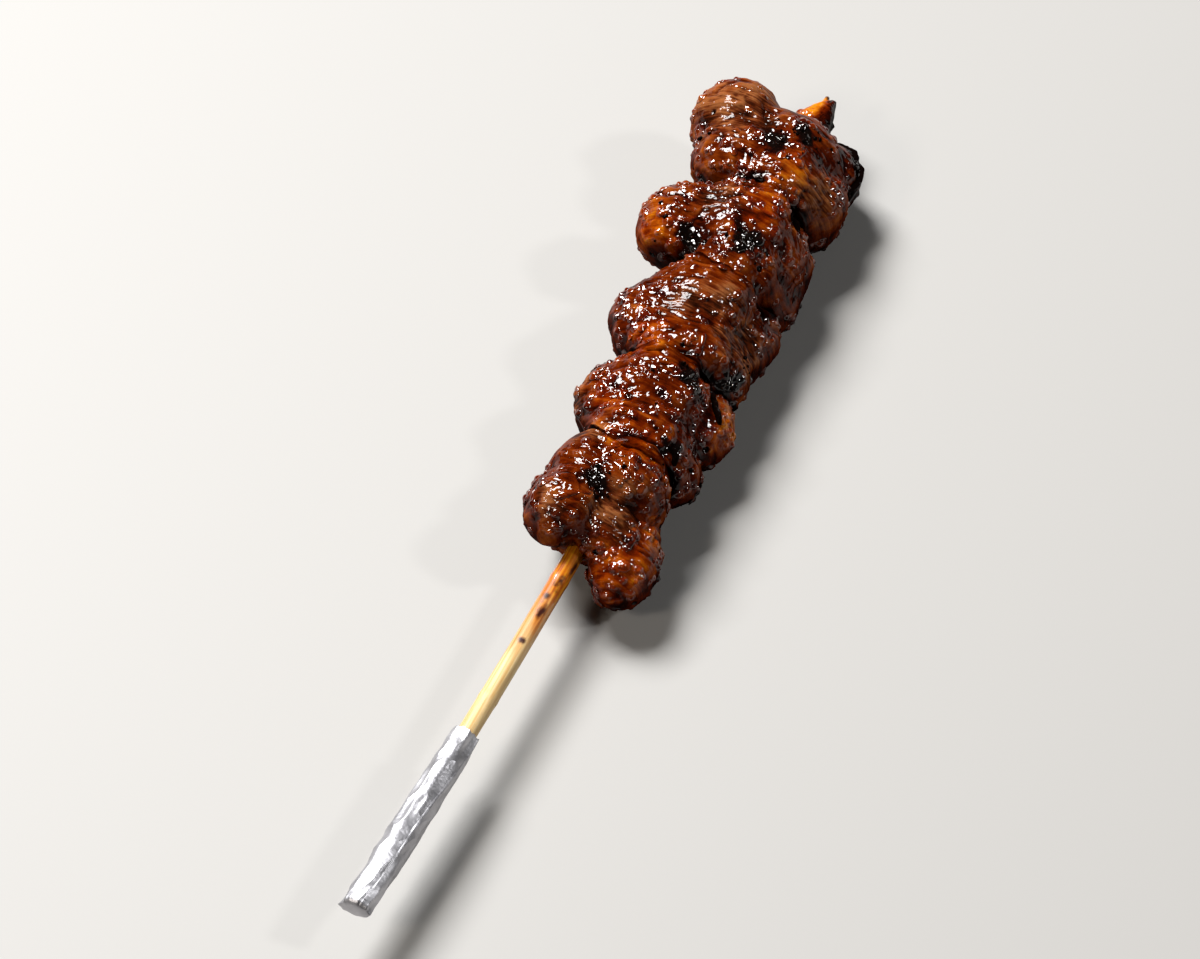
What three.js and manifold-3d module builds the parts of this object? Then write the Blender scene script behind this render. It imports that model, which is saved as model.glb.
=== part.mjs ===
// Pork barbecue skewer, in millimetres, Z up.
//
// Five folded slices of pork are threaded on a bamboo stick and pushed tight against each other. The stick's
// blunt end is the handle and wears a sleeve of crinkled aluminium foil. Its sharpened end comes out past the
// last slice. The skewer lies along X, handle towards -X, on the flattened undersides of the slices.
//
// Every piece is first made in skewer coordinates: x runs from the handle end, y is to the left, and z is up
// from the stick's axis. At the end the whole group is moved so that the origin is under its middle.

import * as THREE from 'three';
import { mergeVertices } from 'three/addons/utils/BufferGeometryUtils.js';
import Module from 'manifold-3d';

// ---------------------------------------------------------------- driving dimensions

const LENGTH = 216; // handle end of the foil to the sharpened tip
const CLEARANCE = 0.3; // gap kept between touching pieces

const STICK_RADIUS = 1.8;
const STICK_BOW = 3.2; // how far the stick's middle bends to the right
const STICK_START = 1.5; // the foil closes over the blunt end
const POINT_LENGTH = 8; // sharpened stretch at the tip
const POINT_RADIUS = 0.4; // the tip is not needle-sharp
const STICK_EDGE = 0.3; // broken edge round the blunt end

const FOIL_LENGTH = 44;
const FOIL_END_RADIUS = 2.45; // folded over the blunt end
const FOIL_RADIUS = 2.85; // where the sleeve is thickest
const FOIL_RIM_RADIUS = 2.5; // at its open rim
const CRINKLE = 0.16; // height of the foil's creases

const REST_DEPTH = 11.8; // the stick's axis above what the slices rest on
const BLEND = 3; // how sharply the lobes of a slice run into each other
const LOBE_RADIUS = 8; // a middling lobe, which turns a clearance into a share of its radius
const UNDERSIDE_TURN = 285; // where the hidden underside of each slice bulges
const UNDERSIDE_OUT = 5.8;
const UNDERSIDE_DEEP = 6.8;

// A lobe is a swelling of a folded slice. It is an ellipsoid that stands at x along the stick, turned round
// the stick by so many degrees (0 is left, 90 is up, 180 is right) and its middle pushed out from the axis.
const lobe = (x, turn, out, long, wide, deep) => ({ x, turn, out, long, wide, deep });

// Each slice wraps a core round the stick. Its lobes are the folds that show, its underside is plain. Its
// heart is the place on the stick from which its whole surface can be seen, by default its middle.
const SLICES = [
  {
    name: 'pork_1', middle: 103.5, heart: 99, core: 9.5, girth: 8.2, underside: 9.6,
    lobes: [
      lobe(95.2, 48, 7.4, 7.8, 7.4, 6.6),
      lobe(105.6, 52, 7.4, 6.0, 6.4, 5.6),
      lobe(92.4, 196, 9.4, 9.0, 6.4, 6.2),
      lobe(105.0, 140, 5.6, 7.4, 8.4, 6.6),
      lobe(102.4, 350, 5.6, 8.6, 7.0, 6.4),
      lobe(95.4, 160, 4.6, 6.2, 6.0, 5.2),
    ],
  },
  {
    name: 'pork_2', middle: 121.5, core: 15, girth: 9.0, underside: 12,
    lobes: [
      lobe(123.8, 30, 7.2, 9.0, 7.8, 7.2),
      lobe(115.6, 108, 6.6, 7.2, 8.4, 5.8),
      lobe(127.4, 100, 6.4, 8.0, 8.4, 6.4),
      lobe(115.4, 188, 8.0, 6.0, 6.4, 6.0),
      lobe(127.6, 192, 9.2, 7.6, 6.6, 6.2),
    ],
  },
  {
    name: 'pork_3', middle: 144.2, core: 15, girth: 9.4, underside: 12,
    lobes: [
      lobe(144.6, 24, 9.2, 9.0, 7.8, 7.2),
      lobe(138.4, 100, 7.0, 7.4, 9.0, 6.0),
      lobe(150.4, 92, 7.4, 8.0, 9.0, 6.2),
      lobe(139.6, 176, 7.6, 6.6, 6.6, 6.0),
      lobe(150.6, 194, 8.8, 9.0, 6.6, 6.0),
    ],
  },
  {
    name: 'pork_4', middle: 167.2, core: 15, girth: 9.6, underside: 12,
    lobes: [
      lobe(167.0, 28, 13.0, 8.6, 8.0, 7.2),
      lobe(171.0, 88, 8.6, 8.4, 9.8, 6.0),
      lobe(161.8, 118, 6.6, 7.2, 9.0, 6.4),
      lobe(170.6, 176, 8.2, 8.4, 7.6, 6.2),
      lobe(164.4, 202, 8.8, 7.0, 6.6, 6.0),
    ],
  },
  {
    name: 'pork_5', middle: 190.5, core: 13.5, girth: 9.6, underside: 12,
    lobes: [
      lobe(197.2, 30, 12.0, 9.2, 8.6, 8.2),
      lobe(186.8, 40, 10.4, 7.6, 8.6, 6.6),
      lobe(185.0, 118, 7.8, 8.0, 9.4, 6.2),
      lobe(194.6, 110, 6.4, 7.6, 8.6, 6.8),
      lobe(187.0, 186, 9.2, 8.0, 7.4, 6.2),
      lobe(197.4, 196, 9.2, 7.0, 7.2, 6.2),
      lobe(206.4, 180, 0.8, 8.8, 3.2, 5.4),
    ],
  },
];

// ---------------------------------------------------------------- fineness

const MEAT_DETAIL = 7; // splits of an icosahedron's edges
const STICK_SIDES = 14;
const STICK_STEP = 8; // rings along the stick, so that it can follow its bow
const FOIL_SIDES = 20;
const FOIL_STEP = 2.2;
const SEARCH_STEP = 0.5; // coarse steps out from a slice's heart, before the fine search
const SEARCH_REACH = 32;
const FINE_STEPS = 18;

// ---------------------------------------------------------------- the stick's line

const HALF_LENGTH = LENGTH / 2;

// The stick bends to the right in a shallow arc, most at its middle.
const axisY = (x) => -STICK_BOW * (1 - ((x - HALF_LENGTH) / HALF_LENGTH) ** 2);

// ---------------------------------------------------------------- geometry to solid and back

const wasm = await Module();
wasm.setup();

// Joins the shared corners and drops the flat triangles that a lathe leaves on its axis.
function welded(geometry) {
  geometry.deleteAttribute('normal');
  geometry.deleteAttribute('uv');
  const joined = mergeVertices(geometry, 1e-4);
  const corners = joined.index.array;
  const kept = [];
  for (let i = 0; i < corners.length; i += 3) {
    const [a, b, c] = [corners[i], corners[i + 1], corners[i + 2]];
    if (a !== b && b !== c && c !== a) kept.push(a, b, c);
  }
  joined.setIndex(kept);
  return joined;
}

function toSolid(geometry) {
  const joined = welded(geometry);
  return new wasm.Manifold(new wasm.Mesh({
    numProp: 3,
    vertProperties: new Float32Array(joined.attributes.position.array),
    triVerts: new Uint32Array(joined.index.array),
  }));
}

function toGeometry(solid) {
  const mesh = solid.getMesh();
  const geometry = new THREE.BufferGeometry();
  geometry.setAttribute('position', new THREE.BufferAttribute(mesh.vertProperties, 3));
  geometry.setIndex(new THREE.BufferAttribute(mesh.triVerts, 1));
  geometry.computeVertexNormals();
  return geometry;
}

// A lathe turned about the stick's line: its profile is a list of [x, radius], and reshape may change the
// radius from the place along the stick and the turn about it.
function turned(profile, sides, reshape = (x, turn, radius) => radius) {
  const points = profile.map(([x, radius]) => new THREE.Vector2(radius, x));
  const geometry = new THREE.LatheGeometry(points, sides);
  const place = geometry.attributes.position;
  for (let i = 0; i < place.count; i++) {
    const [up, x, across] = [place.getX(i), place.getY(i), place.getZ(i)];
    const turn = Math.atan2(up, across);
    const radius = reshape(x, turn, Math.hypot(across, up));
    place.setXYZ(i, x, axisY(x) + radius * Math.cos(turn), radius * Math.sin(turn));
  }
  return toSolid(geometry);
}

// Places evenly spaced from start to end, about step apart.
function spaced(start, end, step) {
  const count = Math.ceil((end - start) / step);
  return Array.from({ length: count + 1 }, (_, i) => start + ((end - start) * i) / count);
}

// ---------------------------------------------------------------- the bamboo stick

// Round bamboo with a broken edge at the blunt end and a long point at the other. Grown by the clearance, it
// is also the tool that opens the way for the stick through the meat and the foil.
function stick(grow = 0) {
  const radius = STICK_RADIUS + grow;
  const shoulder = LENGTH - POINT_LENGTH;
  const start = STICK_START - grow;
  const body = spaced(start + STICK_EDGE, shoulder, STICK_STEP).map((x) => [x, radius]);
  return turned([
    [start, 0],
    [start, radius - STICK_EDGE],
    ...body,
    [LENGTH + grow, POINT_RADIUS + grow],
    [LENGTH + grow, 0],
  ], STICK_SIDES);
}

// ---------------------------------------------------------------- the foil sleeve

// Rises from the folded end to the thickest part at a third of the length, then narrows to the rim.
function foilRadius(x) {
  const share = x / FOIL_LENGTH;
  const swell = Math.sin(Math.PI * Math.min(1, share ** 0.7));
  const straight = THREE.MathUtils.lerp(FOIL_END_RADIUS, FOIL_RIM_RADIUS, share);
  return straight + (FOIL_RADIUS - straight) * swell;
}

// Creases run round the sleeve in two crossing slants, as when foil is rolled and squeezed by hand.
function foilCrinkle(x, turn) {
  const ridge = (phase) => Math.abs(((phase / Math.PI) % 2 + 2) % 2 - 1) * 2 - 1;
  return CRINKLE * (0.6 * ridge(4 * turn + 0.31 * x) + 0.4 * ridge(3 * turn - 0.47 * x + 1.3));
}

function foil() {
  const outside = spaced(0, FOIL_LENGTH, FOIL_STEP).map((x) => [x, foilRadius(x)]);
  const sleeve = turned(
    [[0, 0], ...outside, [FOIL_LENGTH, 0]],
    FOIL_SIDES,
    (x, turn, radius) => (radius > 0 ? radius + foilCrinkle(x, turn) : 0),
  );
  return sleeve.subtract(stick(CLEARANCE));
}

// ---------------------------------------------------------------- the slices of pork

// A lobe placed in space, with its outward and sideways directions round the stick.
function placed({ x, turn, out, long, wide, deep }) {
  const angle = THREE.MathUtils.degToRad(turn);
  const outward = new THREE.Vector3(0, Math.cos(angle), Math.sin(angle));
  const sideways = new THREE.Vector3(0, -Math.sin(angle), Math.cos(angle));
  const centre = new THREE.Vector3(x, axisY(x), 0).addScaledVector(outward, out);
  return { centre, outward, sideways, long, wide, deep };
}

function placedSlice({ middle, heart = middle, core, girth, underside, lobes }) {
  const all = [
    lobe(middle, 0, 0, core, girth, girth),
    lobe(middle, UNDERSIDE_TURN, UNDERSIDE_OUT, underside, girth, UNDERSIDE_DEEP),
    ...lobes,
  ];
  return { heart: new THREE.Vector3(heart, axisY(heart), 0), lobes: all.map(placed) };
}

// How far out a point is in a slice, as a share of its lobes' radii: below 1 inside, 1 on its surface, above
// 1 outside. Each lobe adds a bump that falls away with the square of that share, so that lobes flow together.
function reach(slice, point) {
  let sum = 0;
  for (const { centre, outward, sideways, long, wide, deep } of slice.lobes) {
    const offset = point.clone().sub(centre);
    const square = (offset.x / long) ** 2
      + (offset.dot(sideways) / wide) ** 2
      + (offset.dot(outward) / deep) ** 2;
    sum += Math.exp(-BLEND * (square - 1));
  }
  return Math.sqrt(Math.max(0, 1 - Math.log(sum) / BLEND));
}

// A point belongs to a slice while it is inside its surface and nearer to it than to its neighbours, so that
// slices pushed together flatten against each other.
function belongs(slice, neighbours, point) {
  const own = reach(slice, point);
  const share = CLEARANCE / LOBE_RADIUS;
  return own < 1 && neighbours.every((other) => own < reach(other, point) - share);
}

// From the slice's heart the surface is looked for along every corner of a fine ball, first in coarse steps
// and then by halving. The slice is then flattened where it lies and opened for the stick.
function slice(index, all) {
  const own = all[index];
  const neighbours = all.filter((_, i) => Math.abs(i - index) === 1);
  const ball = new THREE.IcosahedronGeometry(1, MEAT_DETAIL);
  const place = ball.attributes.position;
  const point = new THREE.Vector3();
  const inside = (direction, distance) => (
    belongs(own, neighbours, point.copy(own.heart).addScaledVector(direction, distance))
  );
  for (let i = 0; i < place.count; i++) {
    const direction = new THREE.Vector3().fromBufferAttribute(place, i).normalize();
    let near = 0;
    while (near < SEARCH_REACH && inside(direction, near + SEARCH_STEP)) near += SEARCH_STEP;
    let far = near + SEARCH_STEP;
    for (let step = 0; step < FINE_STEPS; step++) {
      const between = (near + far) / 2;
      if (inside(direction, between)) near = between;
      else far = between;
    }
    point.copy(own.heart).addScaledVector(direction, near);
    place.setXYZ(i, point.x, point.y, point.z);
  }
  const below = new THREE.BoxGeometry(LENGTH, LENGTH, LENGTH);
  below.translate(own.heart.x, 0, -REST_DEPTH - LENGTH / 2);
  return toSolid(ball).subtract(toSolid(below)).subtract(stick(CLEARANCE));
}

// ---------------------------------------------------------------- materials and assembly

const BAMBOO = { color: 0xe2b267, roughness: 0.5, metalness: 0 };
const FOIL = { color: 0xcfcac4, roughness: 0.32, metalness: 1 };
const GLAZED_PORK = { color: 0x6a2c14, roughness: 0.3, metalness: 0 };

const skewer = new THREE.Group();

function addPiece(name, solid, finish) {
  const mesh = new THREE.Mesh(toGeometry(solid), new THREE.MeshStandardMaterial(finish));
  mesh.name = name;
  skewer.add(mesh);
}

addPiece('bamboo_stick', stick(), BAMBOO);
addPiece('foil_wrap', foil(), FOIL);

const placedSlices = SLICES.map(placedSlice);
SLICES.forEach(({ name }, index) => addPiece(name, slice(index, placedSlices), GLAZED_PORK));

// The origin is under the middle of the whole, on the surface that it rests on.
const box = new THREE.Box3().setFromObject(skewer);
const middle = box.getCenter(new THREE.Vector3());
skewer.position.set(-middle.x, -middle.y, -box.min.z);

export default skewer;
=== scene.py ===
"""Pork barbecue skewer: the looks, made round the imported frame.

Five folded slices of glazed, grilled pork sit on a bamboo stick whose blunt end wears a sleeve of foil.
Sizes are in millimetres and skewer coordinates: x runs from the foil's closed end to the sharpened tip, y
is to the left and z is up from the stick's axis. put_in_place turns them into metres in the part's frame.
"""
import math

import bpy
import numpy as np
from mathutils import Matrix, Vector
from mathutils.bvhtree import BVHTree
from mathutils.kdtree import KDTree


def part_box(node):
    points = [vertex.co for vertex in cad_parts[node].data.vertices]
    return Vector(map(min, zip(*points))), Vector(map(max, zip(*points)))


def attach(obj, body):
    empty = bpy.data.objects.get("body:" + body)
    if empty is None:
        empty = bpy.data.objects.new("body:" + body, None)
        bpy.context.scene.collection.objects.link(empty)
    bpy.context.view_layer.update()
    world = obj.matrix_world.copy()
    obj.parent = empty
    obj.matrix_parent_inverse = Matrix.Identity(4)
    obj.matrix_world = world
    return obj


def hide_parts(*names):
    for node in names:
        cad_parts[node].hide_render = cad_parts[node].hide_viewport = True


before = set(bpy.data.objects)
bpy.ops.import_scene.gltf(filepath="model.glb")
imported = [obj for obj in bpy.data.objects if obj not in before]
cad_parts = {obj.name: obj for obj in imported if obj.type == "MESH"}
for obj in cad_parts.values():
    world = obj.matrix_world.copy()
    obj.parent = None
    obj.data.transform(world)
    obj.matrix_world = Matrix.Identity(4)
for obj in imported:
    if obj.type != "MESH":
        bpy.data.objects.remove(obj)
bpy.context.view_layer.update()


# ------------------------------------------------------------------ bamboo stick
# A round bamboo stick of 3.6 mm, split, turned and sharpened by machine, bent a little to the right.
# Its pale skin is stained amber by the glaze that ran down from the meat, and scorched in spots there.

MM = 0.001
LENGTH = 216.0
STICK_RADIUS = 1.8
STICK_BOW = 3.2
STICK_START = 1.5
POINT_LENGTH = 8.0
POINT_RADIUS = 0.4
TIP_LEAN = 2.2            # the point leans this far to the right, from TIP_LEAN_START on
TIP_LEAN_START = 196.0
BLUNT_ROUND = 0.6         # the blunt end is rounded over this length
STICK_ROWS = 620
STICK_COLUMNS = 48
FLAT_RELIEF = 0.05        # the turned stick is not quite round
GRAIN_RELIEF = 0.035
GRAIN_STRETCH = 25        # the grain is this many times as long as it is wide
STAIN_START = 58.0        # where the amber stain of the glaze begins, and where it is full
STAIN_FULL = 80.0
STAIN_WANDER = 7.0
LEAF_JOINTS = (52.4, 83.0)   # faint rings where leaf joints were planed off
LEAF_JOINT_HEIGHT = 0.09
LEAF_JOINT_WIDTH = 0.9
# Smears of burnt sugar on the stick: x, turn round it, and half the length.
SCORCHES = ((66.0, 96, 0.7), (73.5, 112, 1.8), (77.0, 88, 1.4), (81.5, 122, 2.8), (86.0, 150, 3.4),
            (74.0, 250, 2.4), (85.0, 300, 3.2), (215.4, 60, 1.6), (215.4, 180, 1.6), (215.4, 300, 1.6))

stick_low, stick_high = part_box("bamboo_stick")
foil_low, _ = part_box("foil_wrap")
stick_points = np.array([v.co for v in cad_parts["bamboo_stick"].data.vertices])
tip_points = stick_points[stick_points[:, 0] > stick_high.x - 1e-5]
SKEWER_ORIGIN = np.array([
    foil_low.x,
    (tip_points[:, 1].min() + tip_points[:, 1].max()) / 2,
    (stick_low.z + stick_high.z) / 2,
])


def axis_y(x):
    """The stick's line: a parabola that is 0 at both ends and STICK_BOW to the right at the middle."""
    half = LENGTH / 2
    return -STICK_BOW * (1 - ((x - half) / half) ** 2)


def put_in_place(points):
    """Millimetres on the skewer to metres in the part's frame."""
    return points * MM + SKEWER_ORIGIN


def smoothstep(low, high, value):
    """0 before low, 1 past high, and a cubic ease between them, whichever is the larger."""
    t = np.clip((value - low) / (high - low), 0, 1)
    return t * t * (3 - 2 * t)


def gradient_noise(points, size, seed):
    """Smooth noise of about -1 to 1 with bumps about size apart.

    Each corner of a cubic lattice has a random slope. The heights of the eight slopes round a point are
    blended with a quintic fade, 6t^5 - 15t^4 + 10t^3, along each side of the cell.
    """
    draw = np.random.default_rng(seed)
    order = np.tile(draw.permutation(256), 2)
    slopes = draw.normal(size=(256, 3))
    slopes /= np.linalg.norm(slopes, axis=1, keepdims=True)
    place = points / size
    cell = np.floor(place).astype(int)
    part = place - cell
    fade = part ** 3 * (part * (6 * part - 15) + 10)
    total = np.zeros(len(points))
    for corner in np.ndindex(2, 2, 2):
        x, y, z = (cell + corner).T & 255
        slope = slopes[order[order[order[x] + y] + z]]
        weight = np.prod(np.where(corner, fade, 1 - fade), axis=1)
        total += weight * np.einsum("ij,ij->i", slope, part - corner)
    return total * 1.6


def layered_noise(points, size, seed, layers=3):
    """Gradient noise with layers of half the size and half the height added to it."""
    return sum(gradient_noise(points, size / 2 ** i, seed + i) / 2 ** i for i in range(layers))


def nearest_seed(points, size, seed):
    """Distance, in sizes, to the nearest and the second nearest of random seeds, one in each cell."""
    draw = np.random.default_rng(seed)
    order = np.tile(draw.permutation(256), 2)
    offset = draw.random((256, 3))
    place = points / size
    cell = np.floor(place).astype(int)
    first = np.full(len(points), 9.0)
    second = first.copy()
    for step in np.ndindex(3, 3, 3):
        near = cell + step - 1
        x, y, z = near.T & 255
        distance = np.linalg.norm(near + offset[order[order[order[x] + y] + z]] - place, axis=1)
        second = np.minimum(second, np.maximum(first, distance))
        first = np.minimum(first, distance)
    return first, second


def closed_grid(rows, columns):
    """Faces of a closed tube of rows rings with columns corners each, and one point at either end."""
    ring = np.arange(columns)
    beside = np.roll(ring, -1)
    start = 1 + columns * np.arange(rows - 1)[:, None]
    quads = np.stack([start + ring, start + beside, start + columns + beside, start + columns + ring], -1)
    last = 1 + columns * (rows - 1)
    first_cap = np.stack([np.zeros(columns, int), 1 + beside, 1 + ring], -1)
    last_cap = np.stack([np.full(columns, last + columns), last + ring, last + beside], -1)
    return quads.reshape(-1, 4).tolist() + first_cap.tolist() + last_cap.tolist()


def make_piece(name, points, faces, material, attributes=None):
    """A smooth-shaded mesh from points in skewer millimetres, with one attribute for each named array."""
    mesh = bpy.data.meshes.new(name)
    mesh.from_pydata(put_in_place(points).tolist(), [], faces)
    mesh.update()
    mesh.shade_smooth()
    for key, values in (attributes or {}).items():
        kind, field = ("FLOAT_VECTOR", "vector") if values.ndim == 2 else ("FLOAT", "value")
        mesh.attributes.new(key, kind, "POINT").data.foreach_set(field, values.astype(np.float32).ravel())
    mesh.materials.append(material)
    piece = bpy.data.objects.new(name, mesh)
    bpy.context.scene.collection.objects.link(piece)
    return piece


def colour(code):
    """An sRGB hex colour as the linear RGBA that shaders use."""
    shares = [int(code[i:i + 2], 16) / 255 for i in (1, 3, 5)]
    return [s / 12.92 if s <= 0.04045 else ((s + 0.055) / 1.055) ** 2.4 for s in shares] + [1.0]


def add_node(owner, kind, settings=None, stops=(), **inputs):
    """Adds a shader node to a material or world, and sets its properties and its ramp's stops.

    Stops are places with hex colours. An input is named with _ for a space, or is _ and its number, and gets
    a value, a hex colour or a link from another socket.
    """
    node = owner.node_tree.nodes.new(kind)
    for key, value in (settings or {}).items():
        setattr(node, key, value)
    while stops and len(node.color_ramp.elements) < len(stops):
        node.color_ramp.elements.new(1.0)
    for i, (place, code) in enumerate(stops):
        node.color_ramp.elements[i].position = place
        node.color_ramp.elements[i].color = colour(code)
    for key, value in inputs.items():
        slot = node.inputs[int(key[1:]) if key[0] == "_" else key.replace("_", " ")]
        if isinstance(value, bpy.types.NodeSocket):
            owner.node_tree.links.new(value, slot)
        else:
            slot.default_value = colour(value) if isinstance(value, str) else value
    return node


def blank_material(name):
    material = bpy.data.materials.new(name)
    material.use_nodes = True
    material.node_tree.nodes.clear()
    return material


def finish_material(material, surface):
    output = material.node_tree.nodes.new("ShaderNodeOutputMaterial")
    material.node_tree.links.new(surface, output.inputs["Surface"])
    return material


def stick_surface():
    """Rings of STICK_RADIUS along the stick's line: x on one side, the turn on the other.

    The radius falls off in a straight cone over POINT_LENGTH and in a quarter round at the blunt end. Grain
    is noise stretched along x, and each leaf joint is a low bell-shaped ring. The marks are where glaze has
    soaked in, a wandering edge, and where the skin is scorched, ragged ovals.
    """
    x = STICK_START + (LENGTH - STICK_START) * (np.arange(STICK_ROWS) + 0.5) / STICK_ROWS
    turn = np.arange(STICK_COLUMNS) * 2 * math.pi / STICK_COLUMNS
    x, turn = np.meshgrid(x, turn, indexing="ij")
    cone = np.clip((LENGTH - x) / POINT_LENGTH, 0, 1)
    blunt = np.sqrt(1 - np.clip(1 - (x - STICK_START) / BLUNT_ROUND, 0, 1) ** 2)
    plain = (POINT_RADIUS + (STICK_RADIUS - POINT_RADIUS) * cone) * blunt
    wood = np.stack([x / GRAIN_STRETCH, np.cos(turn) * STICK_RADIUS, np.sin(turn) * STICK_RADIUS], -1)
    wood = wood.reshape(-1, 3)
    grain = gradient_noise(wood, 0.32, 11).reshape(x.shape)
    flats = gradient_noise(wood * [0.4, 1, 1], 1.6, 12).reshape(x.shape)
    radius = plain + (GRAIN_RELIEF * grain + FLAT_RELIEF * flats) * blunt
    for joint_x in LEAF_JOINTS:
        radius += LEAF_JOINT_HEIGHT * np.exp(-((x - joint_x) / LEAF_JOINT_WIDTH) ** 2)
    line = axis_y(x) - TIP_LEAN * smoothstep(TIP_LEAN_START, LENGTH, x)
    ring = np.stack([x, line + radius * np.cos(turn), radius * np.sin(turn)], -1).reshape(-1, 3)
    ends = np.array([[STICK_START, axis_y(STICK_START), 0], [LENGTH, axis_y(LENGTH) - TIP_LEAN, 0]])
    points = np.vstack([ends[:1], ring, ends[1:]])
    wander = gradient_noise(points * [0.25, 1, 1], 1.4, 13)
    soak = smoothstep(STAIN_START, STAIN_FULL, points[:, 0] + STAIN_WANDER * wander)
    scorch = np.zeros(len(points))
    angle = np.degrees(np.arctan2(points[:, 2], points[:, 1] - axis_y(points[:, 0])))
    for spot_x, spot_turn, size in SCORCHES:
        away = (angle - spot_turn + 180) % 360 - 180
        far = np.hypot((points[:, 0] - spot_x) / size, np.radians(away) * STICK_RADIUS / 0.8)
        ragged = 0.7 * layered_noise(points * [0.6, 1, 1], 1.1, 14)
        scorch = np.maximum(scorch, 1 - smoothstep(0.1, 1.2, far + ragged))
    return points, {"soak": soak, "scorch": scorch}


def bamboo_material():
    """Bamboo, planed and unvarnished: pale straw with darker fibres, under 0.5 mm apart, along it.

    It is amber and glossy where glaze soaked in, and black where it scorched.
    """
    m = blank_material("bamboo stained with glaze")
    place = add_node(m, "ShaderNodeTexCoord").outputs["Object"]
    along = add_node(m, "ShaderNodeMapping", Vector=place, Scale=(60, 2200, 2200)).outputs["Vector"]
    fibres = add_node(m, "ShaderNodeTexNoise", Vector=along, Scale=1.0, Detail=4.0).outputs["Fac"]
    soak = add_node(m, "ShaderNodeAttribute", {"attribute_name": "soak"}).outputs["Fac"]
    scorch = add_node(m, "ShaderNodeAttribute", {"attribute_name": "scorch"}).outputs["Fac"]
    wood = add_node(m, "ShaderNodeValToRGB", _0=fibres, stops=[
        (0.28, "#b68e54"), (0.42, "#c6a268"), (0.56, "#d0b37e"), (0.75, "#d8c296")]).outputs["Color"]
    stained = add_node(m, "ShaderNodeValToRGB", _0=fibres, stops=[
        (0.30, "#944002"), (0.46, "#bc6604"), (0.62, "#cf820e"), (0.80, "#d89a30")]).outputs["Color"]
    body = add_node(m, "ShaderNodeMix", {"data_type": "RGBA"}, _0=soak, _6=wood, _7=stained).outputs[2]
    body = add_node(m, "ShaderNodeMix", {"data_type": "RGBA"}, _0=scorch, _6=body, _7="#340c02").outputs[2]
    relief = add_node(m, "ShaderNodeBump", Strength=0.35, Distance=0.00012, Height=fibres).outputs["Normal"]
    rough = add_node(m, "ShaderNodeMapRange", Value=soak, To_Min=0.5, To_Max=0.35).outputs["Result"]
    shader = add_node(m, "ShaderNodeBsdfPrincipled", Base_Color=body, Roughness=rough, Normal=relief,
                      Subsurface_Weight=0.12, Subsurface_Radius=(0.9, 0.5, 0.2), Subsurface_Scale=0.001,
                      Coat_Weight=soak, Coat_Roughness=0.08)
    return finish_material(m, shader.outputs[0])


points, marks = stick_surface()
stick = make_piece("stick", points, closed_grid(STICK_ROWS, STICK_COLUMNS), bamboo_material(), marks)
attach(stick, "root")
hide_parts("bamboo_stick")


# ------------------------------------------------------------------ foil sleeve
# A strip of kitchen foil, shiny side out, rolled by hand round the blunt end and pinched over it. Its turns
# overlap in a long slanting edge, and squeezing has pressed it into sharp creases and small flat facets.

FOIL_LENGTH = 44.0
FOIL_END_RADIUS = 2.45
FOIL_RADIUS = 2.85
FOIL_RIM_RADIUS = 2.5
FOIL_ROWS = 520
FOIL_COLUMNS = 150
FOIL_LAP = 0.16           # step where the last turn ends
FOIL_FOLD = 0.3           # depth of the big folds
FOIL_CRUMPLE = 0.08       # height of the small facets
FOIL_SMALL = 0.045        # and of the smaller ones between them
FOIL_NOISE_RADIUS = 2.7   # the patterns are worked out on a cylinder of this radius
FOIL_RIM_GAP = 0.088      # how far the rim stands off the stick
FOIL_RIM_SHARE = 0.97     # the rows past this share of the sleeve turn in at the rim
FOIL_END_ROUND = 0.3      # the closed end is rounded over this length
FOIL_CRIMP = 1.7          # and pressed to an edge over this one
FOIL_PINCH_LENGTH = 15.0  # and squeezed thinner and a little wider over this one
FOIL_PINCH_WIDE = 1.02
FOIL_PINCH_THIN = 0.84
FOIL_FLARE = 0.12         # the cut edge stands out again by this share


def creased(points, size, seed):
    """Flat facets with sharp edges: how much nearer the first random seed is than the second."""
    first, second = nearest_seed(points, size, seed)
    return np.clip(second - first, 0, 1)


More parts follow.
